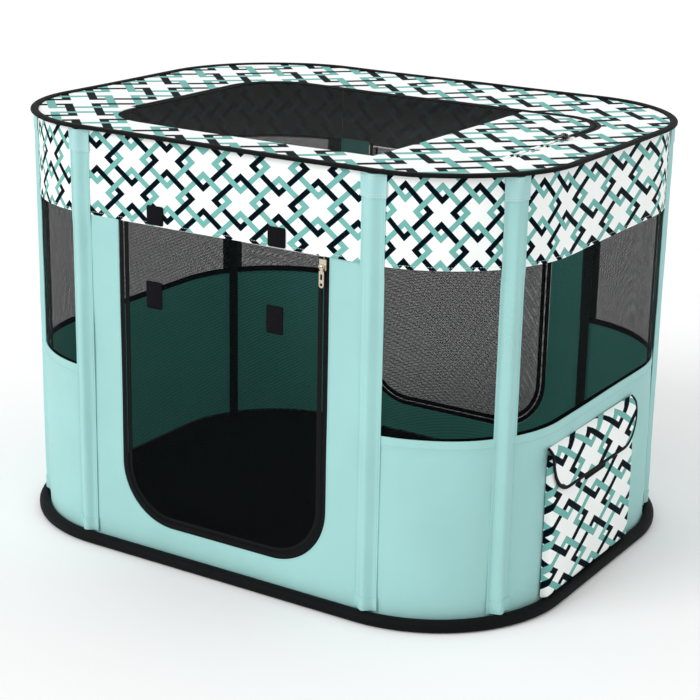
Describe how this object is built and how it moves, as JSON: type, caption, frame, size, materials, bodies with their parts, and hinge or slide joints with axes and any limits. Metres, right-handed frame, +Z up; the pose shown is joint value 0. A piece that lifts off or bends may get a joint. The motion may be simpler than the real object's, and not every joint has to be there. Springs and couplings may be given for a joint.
{
  "type": "pet playpen",
  "caption": "Pop-up cloth pet playpen with round corners, mesh windows, zipped mesh doors, a roof hatch, upright pole sleeves and a printed side pocket.",
  "frame": {"origin": "centre of the footprint on the floor", "axes": "+X towards the short side with the pocket, -Y towards the front door, +Z up"},
  "size_m": [0.812, 0.644, 0.579],
  "materials": {
    "teal_cloth": "coated polyester weave",
    "printed_cloth": "white polyester with a crossed-squares print in teal and navy",
    "black_mesh": "fine black net",
    "black_binding": "woven tape",
    "zip_tape": "woven zip tape",
    "hook_and_loop": "hook and loop fastener",
    "floor_cloth": "black coated cloth",
    "spring_steel": "flat spring steel",
    "pole_rod": "glass-fibre rod",
    "cap_plastic": "moulded plastic",
    "zip_metal": "plated zinc",
    "dark_zip_metal": "black painted zinc"
  },
  "bodies": {
    "tent": {"floor_panel": "floor_cloth", "floor_hoop": "spring_steel", "floor_binding": "black_binding", "roof_hoop": "spring_steel", "roof_binding": "black_binding", "upright_poles": "pole_rod", "pole_end_caps": "cap_plastic", "pole_sleeves": "teal_cloth", "sleeve_top_patches": "teal_cloth", "sleeve_bottom_patches": "teal_cloth", "printed_band_front": "printed_cloth", "printed_band_rear": "printed_cloth", "printed_band_left": "printed_cloth", "printed_band_right": "printed_cloth", "front_panel": "teal_cloth", "rear_panel": "teal_cloth", "left_lower_panel": "teal_cloth", "right_lower_panel": "teal_cloth", "front_left_lower_panel": "teal_cloth", "front_right_lower_panel": "teal_cloth", "rear_left_lower_panel": "teal_cloth", "rear_right_lower_panel": "teal_cloth", "left_window": "black_mesh", "right_window": "black_mesh", "front_left_window": "black_mesh", "front_right_window": "black_mesh", "rear_left_window": "black_mesh", "rear_right_window": "black_mesh", "sill_seam_tapes": "black_binding", "pole_seam_tapes": "black_binding", "front_frame_zip_tape": "zip_tape", "front_band_fasteners": "hook_and_loop", "rear_frame_zip_tape": "zip_tape", "rear_band_fasteners": "hook_and_loop", "roof_panel": "printed_cloth", "roof_panel_end": "printed_cloth", "roof_frame_zip_tape": "zip_tape", "pocket_pouch": "printed_cloth", "pocket_loop_fastener": "hook_and_loop"},
    "front_door": {"front_door_mesh": "black_mesh", "front_door_zip_tape": "zip_tape", "front_door_fasteners": "hook_and_loop"},
    "front_slider": {"front_zip_slider": "zip_metal"},
    "front_pull": {"front_zip_pull": "zip_metal"},
    "rear_door": {"rear_door_mesh": "black_mesh", "rear_door_zip_tape": "zip_tape", "rear_door_fasteners": "hook_and_loop"},
    "rear_slider": {"rear_zip_slider": "zip_metal"},
    "rear_pull": {"rear_zip_pull": "zip_metal"},
    "hatch": {"hatch_mesh": "black_mesh", "hatch_printed_end": "printed_cloth", "hatch_zip_tape": "zip_tape"},
    "hatch_slider": {"hatch_zip_slider": "dark_zip_metal"},
    "hatch_pull": {"hatch_zip_pull": "dark_zip_metal"},
    "flap": {"pocket_flap": "printed_cloth", "pocket_flap_binding": "black_binding", "pocket_hook_fastener": "hook_and_loop"}
  },
  "joints": [
    {"name": "front_door_hinge", "type": "hinge", "parent": "tent", "child": "front_door", "pos_m": [0, -0.3073, 0.458], "axis": [-1, 0, 0], "range_deg": [0, 110]},
    {"name": "front_slider_slide", "type": "slide", "parent": "front_door", "child": "front_slider", "axis": [0, 0, 1], "range_m": [-0.27, 0]},
    {"name": "front_pull_hinge", "type": "hinge", "parent": "front_slider", "child": "front_pull", "pos_m": [0.1532, -0.3093, 0.4465], "axis": [-1, 0, 0], "range_deg": [0, 60]},
    {"name": "rear_door_hinge", "type": "hinge", "parent": "tent", "child": "rear_door", "pos_m": [0, 0.3073, 0.458], "axis": [1, 0, 0], "range_deg": [0, 110]},
    {"name": "rear_slider_slide", "type": "slide", "parent": "rear_door", "child": "rear_slider", "axis": [0, 0, 1], "range_m": [-0.27, 0]},
    {"name": "rear_pull_hinge", "type": "hinge", "parent": "rear_slider", "child": "rear_pull", "pos_m": [-0.1532, 0.3093, 0.4465], "axis": [1, 0, 0], "range_deg": [0, 60]},
    {"name": "hatch_hinge", "type": "hinge", "parent": "tent", "child": "hatch", "pos_m": [0.028, -0.236, 0.573], "axis": [1, 0, 0], "range_deg": [0, 110]},
    {"name": "hatch_slider_slide", "type": "slide", "parent": "hatch", "child": "hatch_slider", "axis": [0, 1, 0], "range_m": [-0.15, 0]},
    {"name": "hatch_pull_hinge", "type": "hinge", "parent": "hatch_slider", "child": "hatch_pull", "pos_m": [0.313, 0.004, 0.5771], "axis": [-1, 0, 0], "range_deg": [0, 60]},
    {"name": "pocket_flap_hinge", "type": "hinge", "parent": "tent", "child": "flap", "pos_m": [0.3903, -0.034, 0.2212], "axis": [0, -1, 0], "range_deg": [0, 115]}
  ]
}
